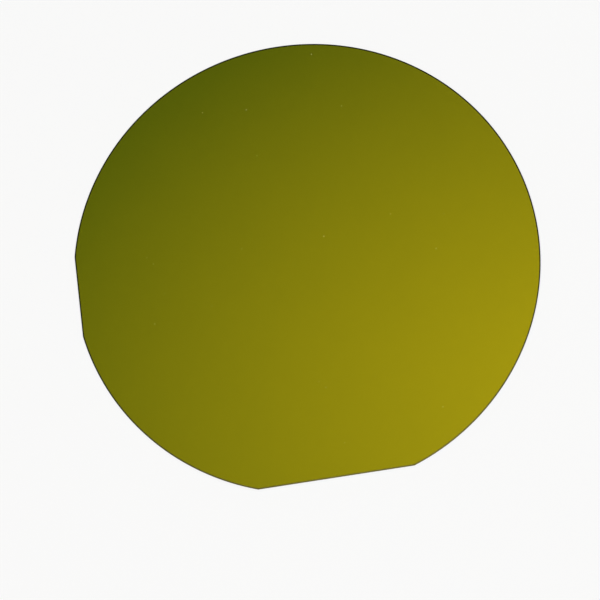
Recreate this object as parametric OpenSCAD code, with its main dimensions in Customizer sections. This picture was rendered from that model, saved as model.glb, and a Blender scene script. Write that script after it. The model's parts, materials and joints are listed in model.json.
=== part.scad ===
// Bare crystal wafer: a thin round plate with two straight flats ground into its rim.
// It lies on its back face, which is centred on the origin, and +Z leaves the front face.
// The primary flat faces -Y. The secondary flat faces -X, a quarter turn clockwise from it.

/* [Wafer] */
// Diameter of the round rim, in mm
wafer_d = 100; // [76:0.5:150]
// Thickness from face to face, in mm
wafer_t = 0.35; // [0.3:0.01:0.6]

/* [Flats] */
// Length of the primary flat, in mm
primary_flat = 32.5; // [18:0.5:48]
// Length of the secondary flat, in mm
secondary_flat = 18; // [8:0.5:24]
// Clockwise turn from the primary flat to the secondary flat, in degrees
flat_turn = 90; // [60:1:120]

/* [Edge] */
// Slope of the ground bevels against the faces, in degrees
bevel_angle = 22; // [15:1:35]
// Height of the upright nose between the two bevels, in mm
nose_h = 0.08; // [0.06:0.01:0.12]
// Radius that blends the nose into each bevel, in mm
nose_r = 0.05; // [0.02:0.01:0.06]

/* [Hidden] */

crystal_colour = [0.48, 0.46, 0.05];
rim_r = wafer_d / 2;
mid_z = wafer_t / 2;
// Height of each blend's centre from the middle plane
blend_z = nose_h / 2;
// Where each blend meets its bevel: height from the middle plane, and distance in from the nose
meet_z = blend_z + nose_r * cos(bevel_angle);
meet_in = nose_r * (1 - sin(bevel_angle));
// Width of the whole ground edge, from the nose in to the face
edge_w = meet_in + (mid_z - meet_z) / tan(bevel_angle);
// Direction that each flat faces, in degrees about +Z
primary_dir = -90;
secondary_dir = primary_dir - flat_turn;
$fn = 360;
blend_fn = 48;

// Distance from the wafer's axis to a flat of the given length
function flat_reach(length) = sqrt(pow(rim_r, 2) - pow(length / 2, 2));

// Section through the plate: the middle of the nose is at the origin, and the plate is depth deep
module plate_section(depth) {
    polygon([
        [-depth, -mid_z],
        [-edge_w, -mid_z],
        [-meet_in, -meet_z],
        [-nose_r, -blend_z],
        [-nose_r, blend_z],
        [-meet_in, meet_z],
        [-edge_w, mid_z],
        [-depth, mid_z]
    ]);
    for (side = [-1, 1])
        translate([-nose_r, side * blend_z])
            circle(r = nose_r, $fn = blend_fn);
    translate([-2 * nose_r, -blend_z])
        square([2 * nose_r, nose_h]);
}

// The plate with its round rim, before the flats are ground
module round_plate() {
    translate([0, 0, mid_z])
        rotate_extrude()
            translate([rim_r, 0])
                plate_section(rim_r);
}

// A plate that covers the wafer on every side but one, where it ends in the flat that faces dir
module flat_plate(length, dir) {
    translate([0, 0, mid_z])
        rotate([90, 0, dir])
            linear_extrude(height = 2 * wafer_d, center = true)
                translate([flat_reach(length), 0])
                    plate_section(2 * wafer_d);
}

// The whole wafer
module wafer() {
    color(crystal_colour)
        intersection() {
            round_plate();
            flat_plate(primary_flat, primary_dir);
            flat_plate(secondary_flat, secondary_dir);
        }
}

wafer();
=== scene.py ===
"""Looks of a bare silicon carbide wafer: one polished, see-through slice of olive crystal.

The wafer lies on its back face on a pale light table. Its outline, ground edge and faces follow
one rule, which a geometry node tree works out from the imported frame's own sizes. A second tree
scatters the few grains of dust that lie on the front face.
"""

import json
import logging
import math
from dataclasses import dataclass
from enum import Enum

import bpy
from mathutils import Matrix, Vector

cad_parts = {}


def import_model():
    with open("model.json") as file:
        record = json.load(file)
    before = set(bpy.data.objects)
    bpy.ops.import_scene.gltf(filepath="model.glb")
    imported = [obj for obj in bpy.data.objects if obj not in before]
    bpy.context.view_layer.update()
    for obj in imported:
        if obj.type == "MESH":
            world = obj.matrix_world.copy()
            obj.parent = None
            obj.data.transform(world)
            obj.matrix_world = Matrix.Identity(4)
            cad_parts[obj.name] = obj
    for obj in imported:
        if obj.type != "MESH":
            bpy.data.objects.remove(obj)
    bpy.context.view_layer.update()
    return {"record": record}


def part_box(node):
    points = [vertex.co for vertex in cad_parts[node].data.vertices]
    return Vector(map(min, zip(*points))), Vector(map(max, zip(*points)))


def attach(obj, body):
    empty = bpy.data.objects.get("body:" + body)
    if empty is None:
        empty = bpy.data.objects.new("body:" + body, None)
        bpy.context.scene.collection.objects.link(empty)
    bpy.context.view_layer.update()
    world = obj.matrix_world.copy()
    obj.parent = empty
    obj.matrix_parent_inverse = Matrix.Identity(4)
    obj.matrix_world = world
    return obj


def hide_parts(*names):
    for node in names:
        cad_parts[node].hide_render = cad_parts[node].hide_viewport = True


LOG = logging.getLogger("wafer")
MM = 0.001
Colour = tuple[float, float, float]
Inputs = dict[str | int, object]


class Flat(Enum):
    """The straight flats of the rim, each by the mount that says where it is."""

    PRIMARY = "primary_flat"
    SECONDARY = "secondary_flat"

    @property
    def reach(self) -> str:
        """The name of the input that takes the flat's distance from the axis."""
        return f"{self.name.title()} Flat Reach"

    @property
    def facing(self) -> str:
        """The name of the input that takes the direction that the flat faces."""
        return f"{self.name.title()} Flat Facing"


class Side(Enum):
    """The two ends of a flat, by the way each lies from the flat's middle about the axis."""

    CLOCKWISE = -1.0
    ANTICLOCKWISE = 1.0


class Draw(Enum):
    """The numbers that are drawn for each grain of dust, by what each adds to the seed."""

    LENGTH = 1.0
    WIDTH = 2.0
    TURN = 3.0


class Field:
    """A number that runs through a node tree and takes the usual arithmetic."""

    def __init__(self, tree: bpy.types.NodeTree, socket: bpy.types.NodeSocket) -> None:
        """Wraps an output.

        Args:
            tree: the node tree that the number runs through.
            socket: the output that gives it.
        """
        self.tree = tree
        self.socket = socket

    def apply(self, operation: str, *others: "Field | float") -> "Field":
        """Adds one math node.

        Args:
            operation: the math node's operation.
            others: its second and third values.

        Returns:
            The node's result.
        """
        inputs = dict(enumerate((self, *others)))
        node = add_node(self.tree, "ShaderNodeMath", inputs, operation=operation)
        return Field(self.tree, node.outputs[0])

    def __add__(self, other: "Field | float") -> "Field":
        """Sum."""
        return self.apply("ADD", other)

    def __sub__(self, other: "Field | float") -> "Field":
        """Difference."""
        return self.apply("SUBTRACT", other)

    def __rsub__(self, number: float) -> "Field":
        """A plain number less this one."""
        return self.apply("MULTIPLY_ADD", -1.0, number)

    def __mul__(self, other: "Field | float") -> "Field":
        """Product."""
        return self.apply("MULTIPLY", other)

    def __truediv__(self, other: "Field | float") -> "Field":
        """Quotient."""
        return self.apply("DIVIDE", other)

    def __rtruediv__(self, number: float) -> "Field":
        """A plain number over this one."""
        return self.apply("POWER", -1.0) * number

    def toward(self, other: "Field", share: "Field") -> "Field":
        """The value that lies a share of the way from this one to the other."""
        return self + (other - self) * share


def find_socket(sockets: bpy.types.bpy_prop_collection, key: str | int) -> bpy.types.NodeSocket:
    """Finds a node's socket.

    Args:
        sockets: the node's inputs or outputs.
        key: the socket's place, its identifier or its name.

    Returns:
        The first socket that matches.
    """
    if isinstance(key, int):
        return sockets[key]
    return next(socket for socket in sockets if key in (socket.identifier, socket.name))


def add_node(
    tree: bpy.types.NodeTree, kind: str, inputs: Inputs | None = None, **settings: object
) -> bpy.types.Node:
    """Adds a node to a tree.

    Args:
        tree: the node tree.
        kind: the node's type.
        inputs: what its inputs take, by place, identifier or name: a field, an output or a value.
        settings: its own properties.

    Returns:
        The node.
    """
    node = tree.nodes.new(kind)
    for name, value in settings.items():
        setattr(node, name, value)
    for key, value in (inputs or {}).items():
        socket = find_socket(node.inputs, key)
        source = value.socket if isinstance(value, Field) else value
        if isinstance(source, bpy.types.NodeSocket):
            tree.links.new(source, socket)
        else:
            socket.default_value = source
    return node


class Rule:
    """A geometry node tree with named inputs, which an object runs as a modifier.

    The kinds say what sort of input takes each sort of value.
    """

    KINDS = {
        int: "NodeSocketInt",
        float: "NodeSocketFloat",
        bpy.types.Material: "NodeSocketMaterial",
    }

    def __init__(self, name: str, inputs: dict[str, float | bpy.types.Material]) -> None:
        """Starts a tree that takes and gives geometry.

        Args:
            name: what the tree is called.
            inputs: its other inputs by name, and what each is set to.
        """
        self.tree = bpy.data.node_groups.new(name, "GeometryNodeTree")
        self.values: dict[str, object] = {}
        for way in ("INPUT", "OUTPUT"):
            self._new_socket("Geometry", way, "NodeSocketGeometry")
        for label, value in inputs.items():
            socket = self._new_socket(label, "INPUT", self.KINDS[type(value)])
            self.values[socket.identifier] = value
        self.entry = self.tree.nodes.new("NodeGroupInput")

    def _new_socket(self, label: str, way: str, kind: str) -> bpy.types.NodeTreeInterfaceSocket:
        """Adds an input or output to the tree's face."""
        return self.tree.interface.new_socket(label, in_out=way, socket_type=kind)

    def __getitem__(self, label: str) -> Field:
        """One of the tree's own inputs, by its name."""
        return Field(self.tree, find_socket(self.entry.outputs, label))

    def add(self, kind: str, inputs: Inputs | None = None, **settings: object) -> bpy.types.Node:
        """Adds a node to this tree, as add_node does."""
        return add_node(self.tree, kind, inputs, **settings)

    def vector(self, x: object = 0.0, y: object = 0.0, z: object = 0.0) -> bpy.types.NodeSocket:
        """Puts three numbers together as one vector output."""
        return self.add("ShaderNodeCombineXYZ", {"X": x, "Y": y, "Z": z}).outputs[0]

    def split(self, kind: str) -> tuple[Field, ...]:
        """Adds an input node of the mesh itself, such as its position, and splits its vector."""
        parts = self.add("ShaderNodeSeparateXYZ", {0: self.add(kind).outputs[0]})
        return tuple(Field(self.tree, output) for output in parts.outputs)

    def run_on(self, holder: bpy.types.Object, geometry: bpy.types.NodeSocket) -> None:
        """Closes the tree and puts it on an object as a modifier, with its inputs set.

        Args:
            holder: the object.
            geometry: what the tree gives.
        """
        self.add("NodeGroupOutput", {"Geometry": geometry})
        modifier = holder.modifiers.new(self.tree.name, "NODES")
        modifier.node_group = self.tree
        for identifier, value in self.values.items():
            modifier[identifier] = value


@dataclass(frozen=True)
class WaferSize:
    """Every driving size of the wafer, in metres and radians."""

    radius: float
    thickness: float
    reach: dict[Flat, float]
    facing: dict[Flat, float]
    bevel_angle: float = math.radians(22)
    nose_height: float = 0.08 * MM
    nose_radius: float = 0.05 * MM

    @classmethod
    def from_record(cls, record: dict) -> "WaferSize":
        """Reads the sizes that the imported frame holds.

        Args:
            record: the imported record.

        Returns:
            The wafer's sizes.
        """
        mounts = {mount["name"]: mount for mount in record["mounts"]}
        places = {flat: Vector(mounts[flat.value]["pos_m"]) for flat in Flat}
        low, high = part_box("wafer")
        return cls(
            radius=mounts["rim"]["dims"]["r_mm"] * MM,
            thickness=high.z - low.z,
            reach={flat: place.xy.length for flat, place in places.items()},
            facing={flat: math.atan2(place.y, place.x) % math.tau for flat, place in places.items()},
        )


class Paint:
    """The node tree of one material, which has one shader in it."""

    def __init__(self, name: str) -> None:
        """Makes the material.

        Args:
            name: the material's name.
        """
        self.material = bpy.data.materials.new(name)
        self.material.use_nodes = True
        self.tree = self.material.node_tree
        self.shader = self.tree.nodes["Principled BSDF"]
        self.place = self.add("ShaderNodeTexCoord").outputs["Object"]

    def add(self, kind: str, inputs: Inputs | None = None, **settings: object) -> bpy.types.Node:
        """Adds a node to this material, as add_node does."""
        return add_node(self.tree, kind, inputs, **settings)

    def mottle(self, size: float) -> Field:
        """Adds an even mottle of about 0 to 1, whose spots lie a size apart."""
        noise = self.add("ShaderNodeTexNoise", {"Vector": self.place, "Scale": 1 / size})
        return Field(self.tree, noise.outputs["Fac"])

    def lines(self, length: float, gap: float) -> Field:
        """Adds level lines of about 0 to 1.

        Args:
            length: about how long a line is.
            gap: about how far over one line the next lies.

        Returns:
            How high the lines stand at each point.
        """
        terms = {0: self.place, 1: (1 / length, 1 / length, 1 / gap)}
        squeezed = self.add("ShaderNodeVectorMath", terms, operation="MULTIPLY").outputs["Vector"]
        noise = self.add("ShaderNodeTexNoise", {"Vector": squeezed, "Scale": 1.0})
        return Field(self.tree, noise.outputs["Fac"])

    def blend(self, share: Field, first: Colour, second: Colour) -> bpy.types.NodeSocket:
        """Blends two colours.

        Args:
            share: how much of the second colour there is at each point.
            first: the colour at a share of 0.
            second: the colour at a share of 1.

        Returns:
            The blend.
        """
        inputs = {"Factor_Float": share, "A_Color": (*first, 1.0), "B_Color": (*second, 1.0)}
        mix = self.add("ShaderNodeMix", inputs, data_type="RGBA")
        return find_socket(mix.outputs, "Result_Color")

    def shade(self, colour: bpy.types.NodeSocket, strength: Field) -> bpy.types.NodeSocket:
        """Multiplies a colour by a strength."""
        terms = {0: colour, "Scale": strength}
        return self.add("ShaderNodeVectorMath", terms, operation="SCALE").outputs["Vector"]

    def colour(self, colour: bpy.types.NodeSocket) -> None:
        """Gives the shader its colour."""
        self.tree.links.new(colour, self.shader.inputs["Base Color"])

    def relief(self, height: Field, depth: float) -> None:
        """Raises the surface by a depth where the height is 1."""
        bump = self.add("ShaderNodeBump", {"Height": height, "Distance": depth})
        self.tree.links.new(bump.outputs["Normal"], self.shader.inputs["Normal"])

    def set(self, **values: float) -> None:
        """Sets the shader's own sockets, each by its name with underscores for spaces."""
        for name, value in values.items():
            self.shader.inputs[name.replace("_", " ")].default_value = value


@dataclass(frozen=True)
class PaintedBacklight:
    """Painted light and shade of an uneven backlight on the crystal's tint: painted palest towards a
    centre off the rim, and painted deeper away from it.

    The tint is even along rings round that centre, and the crowding is how much closer together
    the rings lie along Y than along X. The lengths are in the wafer's own radii: from its axis to
    that centre, and from that centre along X to the palest ring and to the deepest.
    """

    direction: float
    centre: float
    palest: float
    deepest: float
    crowding: float = 1.0

    def depth(self, paint: Paint, radius: float) -> Field:
        """Works out how deep the painted shade makes the tint at each point.

        Args:
            paint: the material that the tint is for.
            radius: the wafer's radius.

        Returns:
            The depth: 0 where the painted light leaves the tint palest and 1 where the painted shade
                makes it deepest.
        """
        heading = Vector((math.cos(self.direction), math.sin(self.direction) * self.crowding, 0.0))
        terms = {0: paint.place, 1: (1.0, self.crowding, 1.0), 2: -heading * self.centre * radius}
        gap = paint.add("ShaderNodeVectorMath", terms, operation="MULTIPLY_ADD").outputs["Vector"]
        away = paint.add("ShaderNodeVectorMath", {0: gap}, operation="LENGTH").outputs["Value"]
        span = (self.deepest - self.palest) * radius
        return (Field(paint.tree, away) - self.palest * radius) / span


@dataclass(frozen=True)
class PolishedCrystal:
    """See-through crystal, polished to a mirror.

    Light that crosses the plate once is multiplied by the tint, which is painted paler towards one
    side and deeper towards the other, as painted light and shade of an uneven backlight. The index is
    kept under the crystal's own, 2.65, so that in a bright room the plate still shows its tint and not
    the room.
    """

    lit_tint: Colour = (0.465, 0.395, 0.0076)
    shaded_tint: Colour = (0.120, 0.143, 0.0038)
    # Painted light: the tint is painted paler on the lit side of an uneven backlight and deeper away
    # from it
    painted_light: PaintedBacklight = PaintedBacklight(math.radians(-31), centre=1.6, palest=0.6, deepest=3.0, crowding=1.43)
    refractive_index: float = 1.55
    cloud_size: float = 14 * MM
    cloud_depth: float = 0.03

    def build(self, radius: float) -> bpy.types.Material:
        """Makes the finish.

        Args:
            radius: the wafer's radius, which the painted light is measured in.

        Returns:
            The material.
        """
        paint = Paint("polished_crystal")
        clouds = (paint.mottle(self.cloud_size) - 0.5) * self.cloud_depth
        # The painted shade of the uneven backlight, with faint random clouds on top
        depth = self.painted_light.depth(paint, radius) + clouds
        paint.colour(paint.blend(depth, self.lit_tint, self.shaded_tint))
        paint.set(Roughness=0.0, IOR=self.refractive_index, Transmission_Weight=1.0)
        return paint.material


@dataclass(frozen=True)
class GroundCrystal:
    """The same crystal where a wheel has ground it: matt, and painted dark as the shade of an edge
    that lets no light by.

    The wheel leaves fine lines that run level round the whole edge. The line shade and the line depth
    are how much the tint and the surface would change from the foot of a line to its top. The tint is
    painted pale towards the primary flat, as painted light where the near bevel lets the backlight
    through, and near black elsewhere, as painted shade.
    """

    lit_tint: Colour = (0.165, 0.145, 0.0250)
    shaded_tint: Colour = (0.010, 0.010, 0.0030)
    # Painted light and shade: pale towards the primary flat, where the near bevel lets the backlight
    # through, and near black where the edge blocks it
    painted_light: PaintedBacklight = PaintedBacklight(math.radians(-80), centre=1.0, palest=0.3, deepest=1.2)
    roughness: float = 0.6
    gloss: float = 0.1
    line_length: float = 0.8 * MM
    line_gap: float = 0.012 * MM
    line_shade: float = 0.6
    line_depth: float = 0.03 * MM

    def build(self, radius: float) -> bpy.types.Material:
        """Makes the finish.

        Args:
            radius: the wafer's radius, which the painted light is measured in.

        Returns:
            The material.
        """
        paint = Paint("ground_crystal")
        # Painted shade of an edge that blocks the backlight, lit towards the primary flat by painted
        # light
        tint = paint.blend(self.painted_light.depth(paint, radius), self.lit_tint, self.shaded_tint)
        lines = paint.lines(self.line_length, self.line_gap)
        paint.colour(paint.shade(tint, (lines - 0.5) * self.line_shade + 1.0))
        paint.relief(lines, self.line_depth)
        paint.set(Roughness=self.roughness, Specular_IOR_Level=self.gloss)
        return paint.material


@dataclass(frozen=True)
class RoomDust:
    """Pale, dry dust."""

    dark: Colour = (0.62, 0.58, 0.26)
    light: Colour = (0.86, 0.82, 0.44)
    roughness: float = 0.9
    fleck_size: float = 0.05 * MM

    def build(self) -> bpy.types.Material:
        """Makes the finish.

        Returns:
            The material.
        """
        paint = Paint("room_dust")
        paint.colour(paint.blend(paint.mottle(self.fleck_size), self.dark, self.light))
        paint.set(Roughness=self.roughness)
        return paint.material


@dataclass(frozen=True)
class Plate:
    """The crystal plate: a grid that is wrapped round the rim and closed on both faces.

    The columns go round the rim, the blend steps curve from the nose into each bevel, and the
    face rings share out each face's way in to its pole. The weld is how close two points lie that
    become one, and the crease is the bend past which an edge stays sharp. A face is polished
    where the height of its normal is over the face lean. The grazing cosine is the least that a
    direction is taken to have against a flat's own, so that a flat leaves the far side alone.
    """

    size: WaferSize
    columns: int = 720
    blend_steps: int = 8
    face_rings: int = 6
    weld: float = 1e-7
    crease: float = math.radians(9.5)
    face_lean: float = 0.98
    grazing: float = 1e-6

    def build(self, holder: bpy.types.Object) -> None:
        """Puts the plate's rule on an object.

        Args:
            holder: the object that the plate is made in.
        """
        rule = Rule("plate_rule", self._inputs())
        plate = self._creased(rule, self._wrapped(rule))
        rule.run_on(holder, self._dressed(rule, plate))

    def _inputs(self) -> dict[str, float | bpy.types.Material]:
        """Lists the rule's inputs.

        Returns:
            What each input is set to, by its name.
        """
        size = self.size
        return {
            "Columns": self.columns,
            "Blend Steps": self.blend_steps,
            "Face Rings": self.face_rings,
            "Radius": size.radius,
            "Thickness": size.thickness,
            **{flat.reach: size.reach[flat] for flat in Flat},
            **{flat.facing: size.facing[flat] for flat in Flat},
            "Bevel Angle": size.bevel_angle,
            "Nose Height": size.nose_height,
            "Nose Radius": size.nose_radius,
            "Weld": self.weld,
            "Crease": self.crease,
            "Face Lean": self.face_lean,
            "Grazing": self.grazing,
            "Face Finish": PolishedCrystal().build(size.radius),
            "Edge Finish": GroundCrystal().build(size.radius),
        }

    def _wrapped(self, rule: Rule) -> bpy.types.NodeSocket:
        """Makes the bare plate: the grid, wrapped and welded along its seam and at its poles.

        Args:
            rule: the rule.

        Returns:
            The plate.
        """
        grid, column, step = self._grid(rule)
        inset, height, shrink = self._profile(rule, step)
        angle = self._angle(rule, column)
        away = self._distance(rule, angle, inset) * shrink
        place = rule.vector(angle.apply("COSINE") * away, angle.apply("SINE") * away, height)
        wrapped = rule.add("GeometryNodeSetPosition", {"Geometry": grid, "Position": place})
        weld = {0: wrapped.outputs[0], "Distance": rule["Weld"]}
        return rule.add("GeometryNodeMergeByDistance", weld).outputs[0]

    def _grid(self, rule: Rule) -> tuple[bpy.types.NodeSocket, Field, Field]:
        """Makes the flat grid.

        Args:
            rule: the rule.

        Returns:
            The grid, each vertex's column, and its step from the middle plane. The steps are a
            half, one and a half and so on, and they are negative on the back half.
        """
        # Each half also has the ring that its blend starts from and the one that its face does
        rows = (rule["Blend Steps"] + rule["Face Rings"] + 2.0) * 2.0
        columns = rule["Columns"]
        spans = {"Size X": columns, "Size Y": rows - 1.0}
        counts = {"Vertices X": columns + 1.0, "Vertices Y": rows}
        grid = rule.add("GeometryNodeMeshGrid", {**spans, **counts})
        across, along, _ = rule.split("GeometryNodeInputPosition")
        return grid.outputs["Mesh"], across + columns / 2.0, along

    def _profile(self, rule: Rule, step: Field) -> tuple[Field, Field, Field]:
        """Works out the section through the ground edge.

        Args:
            rule: the rule.
            step: each vertex's step from the middle plane.

        Returns:
            How far each vertex lies in from the nose, its height over the back face, and the
            share of its distance from the axis that is left where its ring is drawn in.
        """
        middle = rule["Thickness"] / 2.0
        bevel = rule["Bevel Angle"]
        nose_half = rule["Nose Height"] / 2.0
        nose_radius = rule["Nose Radius"]
        steps = rule["Blend Steps"]
        count = step.apply("ABSOLUTE") - 0.5
        sweep = (count / steps).apply("MINIMUM", 1.0) * (math.pi / 2.0 - bevel)
        blend_in = nose_radius * (1.0 - sweep.apply("COSINE"))
        blend_rise = nose_half + nose_radius * sweep.apply("SINE")
        meet_in = nose_radius * (1.0 - bevel.apply("SINE"))
        meet_rise = nose_half + nose_radius * bevel.apply("COSINE")
        edge_width = meet_in + (middle - meet_rise) / bevel.apply("TANGENT")
        on_face = count.apply("GREATER_THAN", steps + 0.5)
        height = middle + blend_rise.toward(middle, on_face) * step.apply("SIGN")
        inner = (count - steps - 1.0).apply("MAXIMUM", 0.0)
        return blend_in.toward(edge_width, on_face), height, 1.0 - inner / rule["Face Rings"]

    def _angle(self, rule: Rule, column: Field) -> Field:
        """Works out each column's direction, with one column at each corner of each flat.

        Args:
            rule: the rule.
            column: each vertex's column.

        Returns:
            The direction about the axis, in radians.
        """
        turn = math.tau / rule["Columns"]
        angle = column * turn
        for flat in Flat:
            half = (rule[flat.reach] / rule["Radius"]).apply("ARCCOSINE")
            for side in Side:
                gap = rule[flat.facing] + half * side.value - angle
                near = gap.apply("ABSOLUTE").apply("LESS_THAN", turn / 2.0)
                angle = angle + gap * near
        return angle

    def _distance(self, rule: Rule, angle: Field, inset: Field) -> Field:
        """Works out how far from the axis the outline lies.

        Args:
            rule: the rule.
            angle: each vertex's direction.
            inset: how far the vertex lies in from the nose.

        Returns:
            The distance.
        """
        distance = rule["Radius"] - inset
        for flat in Flat:
            lean = (angle - rule[flat.facing]).apply("COSINE").apply("MAXIMUM", rule["Grazing"])
            distance = distance.apply("MINIMUM", (rule[flat.reach] - inset) / lean)
        return distance

    def _creased(self, rule: Rule, plate: bpy.types.NodeSocket) -> bpy.types.NodeSocket:
        """Shades the plate smooth, apart from where its faces meet at an edge.

        Args:
            rule: the rule.
            plate: the bare plate.

        Returns:
            The shaded plate.
        """
        bend = rule.add("GeometryNodeInputMeshEdgeAngle").outputs["Unsigned Angle"]
        sharp = Field(rule.tree, bend).apply("GREATER_THAN", rule["Crease"])
        smooth = rule.add("GeometryNodeSetShadeSmooth", {0: plate}, domain="FACE").outputs[0]
        edges = {0: smooth, "Selection": sharp, "Shade Smooth": False}
        return rule.add("GeometryNodeSetShadeSmooth", edges, domain="EDGE").outputs[0]

    def _dressed(self, rule: Rule, plate: bpy.types.NodeSocket) -> bpy.types.NodeSocket:
        """Gives the polished faces and the ground edge their finishes.

        Args:
            rule: the rule.
            plate: the shaded plate.

        Returns:
            The finished plate.
        """
        lean = rule.split("GeometryNodeInputNormal")[2].apply("ABSOLUTE")
        ground = lean.apply("LESS_THAN", rule["Face Lean"])
        solid = rule.add("GeometryNodeRealizeInstances", {0: plate}).outputs[0]
        faces = {0: solid, "Material": rule["Face Finish"]}
        faced = rule.add("GeometryNodeSetMaterial", faces).outputs[0]
        edge = {0: faced, "Selection": ground, "Material": rule["Edge Finish"]}
        return rule.add("GeometryNodeSetMaterial", edge).outputs[0]


@dataclass(frozen=True)
class Dust:
    """The dust: a few low grains, scattered on the plate's front face.

    The smallest and largest are half lengths. The rarity is how strongly small grains outnumber
    large ones, and the slimness is the least width that a grain has for its length. Grains lie
    where the height of the plate's normal is over the front lean, and whatever is further above
    the front face than the lift is dust. Each grain is a ball, flattened and stretched, and the
    subdivisions are how finely it is cut.
    """

    size: WaferSize
    grains_per_square_metre: float = 2600.0
    clear_edge: float = 1.5 * MM
    smallest: float = 0.05 * MM
    largest: float = 0.115 * MM
    rarity: float = 2.5
    slimness: float = 0.6
    height: float = 0.04 * MM
    front_lean: float = 0.99
    lift: float = 0.0004 * MM
    subdivisions: int = 2
    seed: int = 3092

    def build(self, holder: bpy.types.Object) -> None:
        """Puts the dust's rule on an object.

        Args:
            holder: the object that already makes the plate.
        """
        rule = Rule("dust_rule", self._inputs())
        _, _, rise = rule.split("GeometryNodeInputPosition")
        whole = rule.add("GeometryNodeJoinGeometry", {0: rule["Geometry"]})
        rule.tree.links.new(self._grains(rule), whole.inputs[0])
        solid = rule.add("GeometryNodeRealizeInstances", {0: whole.outputs[0]}).outputs[0]
        above = rise.apply("GREATER_THAN", rule["Thickness"] + rule["Lift"])
        finish = {0: solid, "Selection": above, "Material": rule["Dust Finish"]}
        rule.run_on(holder, rule.add("GeometryNodeSetMaterial", finish).outputs[0])

    def _inputs(self) -> dict[str, float | bpy.types.Material]:
        """Lists the rule's inputs.

        Returns:
            What each input is set to, by its name.
        """
        return {
            "Reach": self.size.radius - self.clear_edge,
            "Thickness": self.size.thickness,
            "Density": self.grains_per_square_metre,
            "Smallest": self.smallest,
            "Largest": self.largest,
            "Rarity": self.rarity,
            "Slimness": self.slimness,
            "Height": self.height,
            "Front Lean": self.front_lean,
            "Lift": self.lift,
            "Subdivisions": self.subdivisions,
            "Seed": self.seed,
            "Dust Finish": RoomDust().build(),
        }

    def _grains(self, rule: Rule) -> bpy.types.NodeSocket:
        """Scatters the grains.

        Args:
            rule: the rule.

        Returns:
            The grains, as instances that rest on the front face.
        """
        across, along, _ = rule.split("GeometryNodeInputPosition")
        away = (across * across + along * along).apply("SQRT")
        lean = rule.split("GeometryNodeInputNormal")[2]
        front = lean.apply("GREATER_THAN", rule["Front Lean"])
        inside = away.apply("LESS_THAN", rule["Reach"])
        scatter = {
            "Mesh": rule["Geometry"],
            "Selection": front * inside,
            "Density": rule["Density"],
            "Seed": rule["Seed"],
        }
        spots = rule.add("GeometryNodeDistributePointsOnFaces", scatter).outputs["Points"]
        half = rule["Height"] / 2.0
        raised = rule.add("GeometryNodeSetPosition", {0: spots, "Offset": rule.vector(z=half)})
        cut = {"Radius": 1.0, "Subdivisions": rule["Subdivisions"]}
        grain = rule.add("GeometryNodeMeshIcoSphere", cut)
        turn = self._draw(rule, Draw.TURN, 0.0, math.tau)
        share = self._draw(rule, Draw.LENGTH, 0.0, 1.0).apply("POWER", rule["Rarity"])
        length = rule["Smallest"].toward(rule["Largest"], share)
        width = length * self._draw(rule, Draw.WIDTH, rule["Slimness"], 1.0)
        copies = {
            "Points": raised.outputs[0],
            "Instance": grain.outputs["Mesh"],
            "Rotation": rule.vector(z=turn),
            "Scale": rule.vector(length, width, half),
        }
        return rule.add("GeometryNodeInstanceOnPoints", copies).outputs[0]

    def _draw(self, rule: Rule, draw: Draw, low: Field | float, high: float) -> Field:
        """Draws a number for each grain.

        Args:
            rule: the rule.
            draw: which of the grain's numbers it is.
            low: the least that it may be.
            high: the most that it may be.

        Returns:
            The number.
        """
        limits = {"Min_001": low, "Max_001": high, "Seed": rule["Seed"] + draw.value}
        return Field(rule.tree, rule.add("FunctionNodeRandomValue", limits).outputs[1])


@dataclass(frozen=True)
class Wafer:
    """The whole wafer, as one piece that stands for the frame's own node."""

    size: WaferSize
    name: str = "wafer_plate"

    def build(self) -> bpy.types.Object:
        """Makes the piece.

        Returns:
            The finished object, as a plain mesh that rides on its body.
        """
        piece = bpy.data.objects.new(self.name, bpy.data.meshes.new("blank"))
        bpy.context.scene.collection.objects.link(piece)
        Plate(self.size).build(piece)
        Dust(self.size).build(piece)
        graph = bpy.context.evaluated_depsgraph_get()
        mesh = bpy.data.meshes.new_from_object(piece.evaluated_get(graph))
        mesh.name = self.name
        # The grid starts with an empty slot of its own
        mesh.materials.pop(index=0)
        piece.modifiers.clear()
        piece.data = mesh
        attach(piece, "root")
        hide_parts("wafer")
        finishes = ", ".join(material.name for material in mesh.materials)
        LOG.info("%s: %d faces in %s, on root", self.name, len(mesh.polygons), finishes)
        return piece


def direction(azimuth: float, elevation: float) -> Vector:
    """Gives the way from the wafer to something that stands round it.

    Args:
        azimuth: 0 off the primary flat and 90 off the +X side, in degrees.
        elevation: above the table, in degrees.

    Returns:
        The direction, of length 1.
    """
    turn, rise = math.radians(azimuth), math.radians(elevation)
    return Vector((math.sin(turn) * math.cos(rise), -math.cos(turn) * math.cos(rise), math.sin(rise)))


@dataclass(frozen=True)
class SoftBox:
    """A square studio lamp that faces the wafer; its angles are in degrees."""

    name: str
    azimuth: float
    elevation: float
    power: float
    distance: float = 1.6
    width: float = 1.0

    def build(self) -> bpy.types.Object:
        """Makes the lamp.

        Returns:
            The lamp's object.
        """
        data = bpy.data.lights.new(self.name, "AREA")
        data.shape = "SQUARE"
        data.size = self.width
        data.energy = self.power
        lamp = bpy.data.objects.new(self.name, data)
        back = direction(self.azimuth, self.elevation)
        lamp.location = back * self.distance
        lamp.rotation_euler = back.to_track_quat("Z", "Y").to_euler()
        bpy.context.scene.collection.objects.link(lamp)
        LOG.info("%s: a lamp of %.1f W", self.name, self.power)
        return lamp


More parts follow.
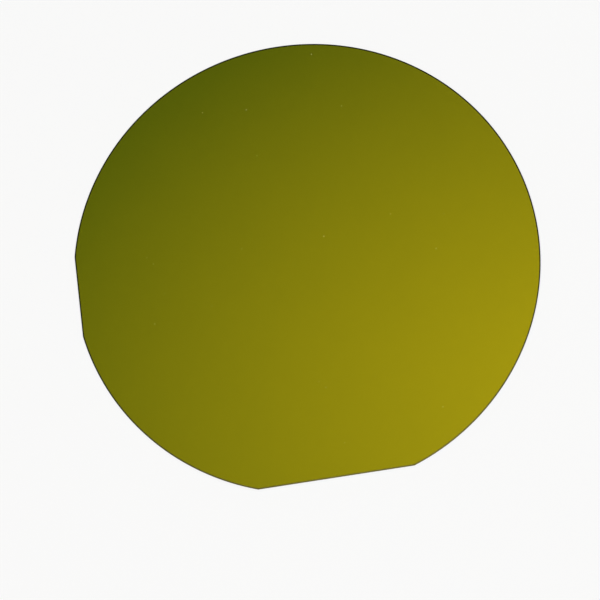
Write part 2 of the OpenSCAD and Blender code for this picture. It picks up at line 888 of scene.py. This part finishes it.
@dataclass(frozen=True)
class LightTable:
    """The pale table that the wafer lies on, with a low cove round it.

    Part of what the table shows comes from inside it, so that the wafer is seen against the
    light. The rest is the lamps' light, so that the table keeps the wafer's shadow. A small gap
    parts it from the wafer's back face.
    """

    colour: Colour = (0.93, 0.93, 0.925)
    glow: Colour = (1.0, 1.0, 0.995)
    glow_share: float = 0.8
    roughness: float = 0.9
    gap: float = 0.05 * MM
    flat_radius: float = 1.5
    cove_radius: float = 0.3
    sides: int = 96
    cove_steps: int = 16

    def build(self) -> bpy.types.Object:
        """Makes the table: a round floor whose rim curves up.

        Returns:
            The table's object.
        """
        turns = [math.tau * side / self.sides for side in range(self.sides)]
        bends = [math.pi / 2 * step / self.cove_steps for step in range(self.cove_steps + 1)]
        points = []
        for bend in bends:
            away = self.flat_radius + self.cove_radius * math.sin(bend)
            height = self.cove_radius * (1 - math.cos(bend)) - self.gap
            points += [(away * math.cos(turn), away * math.sin(turn), height) for turn in turns]
        mesh = bpy.data.meshes.new("table")
        mesh.from_pydata(points, [], self._faces())
        mesh.polygons.foreach_set("use_smooth", [False] + [True] * (len(mesh.polygons) - 1))
        mesh.materials.append(self._top())
        table = bpy.data.objects.new("table", mesh)
        bpy.context.scene.collection.objects.link(table)
        LOG.info("table: %.1f m across", 2 * (self.flat_radius + self.cove_radius))
        return table

    def _faces(self) -> list[tuple[int, ...]]:
        """Lists the faces: the floor, and then the cove, ring by ring.

        Returns:
            The corners of each face, by the places of their points.
        """
        faces: list[tuple[int, ...]] = [tuple(range(self.sides))]
        for ring in range(self.cove_steps):
            low = ring * self.sides
            high = low + self.sides
            for side in range(self.sides):
                after = (side + 1) % self.sides
                faces.append((low + side, high + side, high + after, low + after))
        return faces

    def _top(self) -> bpy.types.Material:
        """Makes the table's own finish.

        Returns:
            The material.
        """
        paint = Paint("table_top")
        paint.shader.inputs["Base Color"].default_value = (*self.colour, 1.0)
        paint.set(Roughness=self.roughness, Specular_IOR_Level=0.0)
        glow = paint.add("ShaderNodeEmission", {"Color": (*self.glow, 1.0)})
        rays = paint.add("ShaderNodeLightPath").outputs
        kinds = ("Is Camera Ray", "Is Glossy Ray", "Is Transmission Ray")
        camera, glossy, through = (Field(paint.tree, rays[kind]) for kind in kinds)
        share = (camera + glossy + through).apply("MINIMUM", 1.0) * self.glow_share
        layers = {0: share, 1: paint.shader.outputs[0], 2: glow.outputs[0]}
        mixed = paint.add("ShaderNodeMixShader", layers)
        surface = paint.tree.nodes["Material Output"].inputs["Surface"]
        paint.tree.links.new(mixed.outputs[0], surface)
        return paint.material


@dataclass(frozen=True)
class Studio:
    """The room's own light: pale at the horizon, and dark overhead.

    It is pale up to one height and dark from another, both on a ball of radius 1 round the wafer.
    """

    colour: Colour = (1.0, 1.0, 1.0)
    horizon: float = 0.94
    pale_to: float = 0.165
    dark_from: float = 0.3

    def build(self) -> None:
        """Makes the world."""
        world = bpy.data.worlds.new("studio")
        world.use_nodes = True
        tree = world.node_tree
        way = add_node(tree, "ShaderNodeTexCoord").outputs["Generated"]
        rise = add_node(tree, "ShaderNodeSeparateXYZ", {0: way}).outputs["Z"]
        span = {"Value": rise, "From Min": self.pale_to, "From Max": self.dark_from}
        ends = {"To Min": self.horizon, "To Max": 0.0}
        fade = add_node(tree, "ShaderNodeMapRange", {**span, **ends}, interpolation_type="SMOOTHSTEP")
        sky = tree.nodes["Background"]
        sky.inputs["Color"].default_value = (*self.colour, 1.0)
        tree.links.new(fade.outputs["Result"], sky.inputs["Strength"])
        bpy.context.scene.world = world


@dataclass(frozen=True)
class Viewpoint:
    """Where the camera stands: over the front face, a little tilted and rolled.

    The angles are in degrees. The lens and the sensor are in millimetres, as a camera's are.
    """

    azimuth: float = 10.8
    elevation: float = 73.8
    roll: float = -19.5
    distance: float = 339.65 * MM
    aim: tuple[float, float] = (-2.12 * MM, -8.55 * MM)
    lens: float = 96.0
    sensor: float = 36.0
    nearest: float = 10 * MM

    def build(self) -> bpy.types.Object:
        """Makes the scene's camera.

        Returns:
            The camera's object.
        """
        data = bpy.data.cameras.new("camera")
        data.lens = self.lens
        data.sensor_width = self.sensor
        data.clip_start = self.nearest
        camera = bpy.data.objects.new("camera", data)
        back = direction(self.azimuth, self.elevation)
        place = Matrix.Translation(Vector((*self.aim, 0.0)) + back * self.distance)
        turn = back.to_track_quat("Z", "Y").to_matrix().to_4x4()
        camera.matrix_world = place @ turn @ Matrix.Rotation(math.radians(self.roll), 4, "Z")
        bpy.context.scene.collection.objects.link(camera)
        bpy.context.scene.camera = camera
        return camera


LAMPS: tuple[SoftBox, ...] = (
    SoftBox("key", azimuth=50, elevation=48, power=13),
    SoftBox("fill", azimuth=-60, elevation=44, power=10),
    SoftBox("back", azimuth=140, elevation=42, power=7.5),
)


def main() -> None:
    """Builds the wafer and then the studio round it."""
    logging.basicConfig(level=logging.INFO, format="%(message)s")
    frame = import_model()
    bpy.context.scene.view_settings.view_transform = "Standard"
    Wafer(WaferSize.from_record(frame["record"])).build()
    LightTable().build()
    Studio().build()
    Viewpoint().build()
    for lamp in LAMPS:
        lamp.build()


if __name__ == "__main__":
    main()
